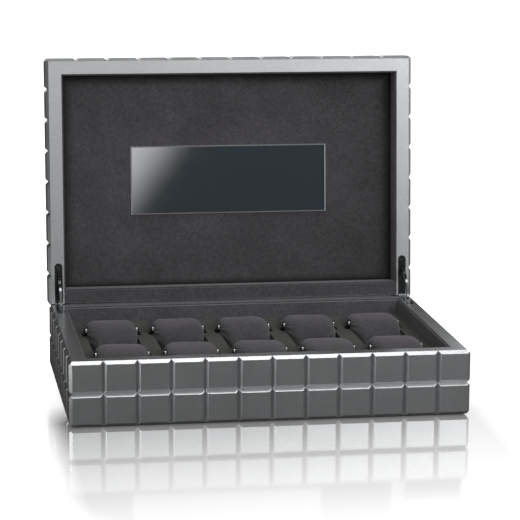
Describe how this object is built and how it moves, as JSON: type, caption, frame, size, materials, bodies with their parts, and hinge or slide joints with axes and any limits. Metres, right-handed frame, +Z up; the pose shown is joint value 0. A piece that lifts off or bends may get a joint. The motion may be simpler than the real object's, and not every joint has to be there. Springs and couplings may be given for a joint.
{
  "type": "watch box",
  "caption": "Lacquered watch box with a tiled grooved carcass, suede lining, lift-out watch cushions, and a hinged lid that stops open and carries a mirror plate.",
  "frame": {"origin": "middle of the underside of the base", "axes": "+X to the right along the front, +Y to the rear where the hinges are, +Z up"},
  "size_m": [0.36, 0.2884, 0.2968],
  "materials": {
    "lacquer": "metallic grey satin lacquer on board",
    "board": "raw board",
    "suede": "anthracite suede-like cloth",
    "rail": "smooth olive grey cloth on board",
    "felt": "felt",
    "mirror": "dark mirror glass",
    "button_chrome": "polished",
    "hinge_chrome": "polished"
  },
  "bodies": {
    "base": {"base_felt": "felt", "base_floor_liner": "suede", "base_floor_panel": "board", "base_front_wall": "lacquer", "base_left_wall": "lacquer", "base_liner_front": "suede", "base_liner_left": "suede", "base_liner_rear": "suede", "base_liner_right": "suede", "base_rear_rim_strip": "suede", "base_rear_wall": "lacquer", "base_right_wall": "lacquer", "divider_1": "rail", "divider_2": "rail", "divider_3": "rail", "divider_4": "rail", "hinge_base_leaf_left": "hinge_chrome", "hinge_base_leaf_right": "hinge_chrome", "hinge_base_screws": "hinge_chrome", "hinge_pins": "hinge_chrome", "row_dividers": "rail", "side_rail_left": "rail", "side_rail_right": "rail"},
    "lid": {"hinge_lid_leaf_left": "hinge_chrome", "hinge_lid_leaf_right": "hinge_chrome", "hinge_lid_screws": "hinge_chrome", "lid_front_wall": "lacquer", "lid_left_wall": "lacquer", "lid_liner_front": "suede", "lid_liner_left": "suede", "lid_liner_rear": "suede", "lid_liner_right": "suede", "lid_pad": "suede", "lid_rear_rim_strip": "suede", "lid_rear_wall": "lacquer", "lid_right_wall": "lacquer", "lid_top_panel": "lacquer", "mirror_plate": "mirror"},
    "stop_arm_left": {"stop_arm_left": "hinge_chrome"},
    "stop_arm_right": {"stop_arm_right": "hinge_chrome"},
    "cushion_back_1": {"cushion_back_1": "suede", "buttons_back_1": "button_chrome"},
    "cushion_back_2": {"cushion_back_2": "suede", "buttons_back_2": "button_chrome"},
    "cushion_back_3": {"cushion_back_3": "suede", "buttons_back_3": "button_chrome"},
    "cushion_back_4": {"cushion_back_4": "suede", "buttons_back_4": "button_chrome"},
    "cushion_back_5": {"cushion_back_5": "suede", "buttons_back_5": "button_chrome"},
    "cushion_front_1": {"cushion_front_1": "suede", "buttons_front_1": "button_chrome"},
    "cushion_front_2": {"cushion_front_2": "suede", "buttons_front_2": "button_chrome"},
    "cushion_front_3": {"cushion_front_3": "suede", "buttons_front_3": "button_chrome"},
    "cushion_front_4": {"cushion_front_4": "suede", "buttons_front_4": "button_chrome"},
    "cushion_front_5": {"cushion_front_5": "suede", "buttons_front_5": "button_chrome"}
  },
  "joints": [
    {"name": "lid_hinge", "type": "hinge", "parent": "base", "child": "lid", "pos_m": [0, 0.1178, 0.0602], "axis": [-1, 0, 0], "range_deg": [-95, 0]},
    {"name": "stop_arm_left_slide", "type": "hinge", "parent": "base", "child": "stop_arm_left", "pos_m": [0, 0.1178, 0.0602], "axis": [-1, 0, 0], "range_deg": [-61.75, 0]},
    {"name": "stop_arm_right_slide", "type": "hinge", "parent": "base", "child": "stop_arm_right", "pos_m": [0, 0.1178, 0.0602], "axis": [-1, 0, 0], "range_deg": [-61.75, 0]},
    {"name": "cushion_back_1_lift", "type": "slide", "parent": "base", "child": "cushion_back_1", "axis": [0, 0, 1], "range_m": [0, 0.08]},
    {"name": "cushion_back_2_lift", "type": "slide", "parent": "base", "child": "cushion_back_2", "axis": [0, 0, 1], "range_m": [0, 0.08]},
    {"name": "cushion_back_3_lift", "type": "slide", "parent": "base", "child": "cushion_back_3", "axis": [0, 0, 1], "range_m": [0, 0.08]},
    {"name": "cushion_back_4_lift", "type": "slide", "parent": "base", "child": "cushion_back_4", "axis": [0, 0, 1], "range_m": [0, 0.08]},
    {"name": "cushion_back_5_lift", "type": "slide", "parent": "base", "child": "cushion_back_5", "axis": [0, 0, 1], "range_m": [0, 0.08]},
    {"name": "cushion_front_1_lift", "type": "slide", "parent": "base", "child": "cushion_front_1", "axis": [0, 0, 1], "range_m": [0, 0.08]},
    {"name": "cushion_front_2_lift", "type": "slide", "parent": "base", "child": "cushion_front_2", "axis": [0, 0, 1], "range_m": [0, 0.08]},
    {"name": "cushion_front_3_lift", "type": "slide", "parent": "base", "child": "cushion_front_3", "axis": [0, 0, 1], "range_m": [0, 0.08]},
    {"name": "cushion_front_4_lift", "type": "slide", "parent": "base", "child": "cushion_front_4", "axis": [0, 0, 1], "range_m": [0, 0.08]},
    {"name": "cushion_front_5_lift", "type": "slide", "parent": "base", "child": "cushion_front_5", "axis": [0, 0, 1], "range_m": [0, 0.08]}
  ],
  "couplings": [
    {"joint": "stop_arm_left_slide", "follows": "lid_hinge", "ratio": 0.65},
    {"joint": "stop_arm_right_slide", "follows": "lid_hinge", "ratio": 0.65}
  ]
}
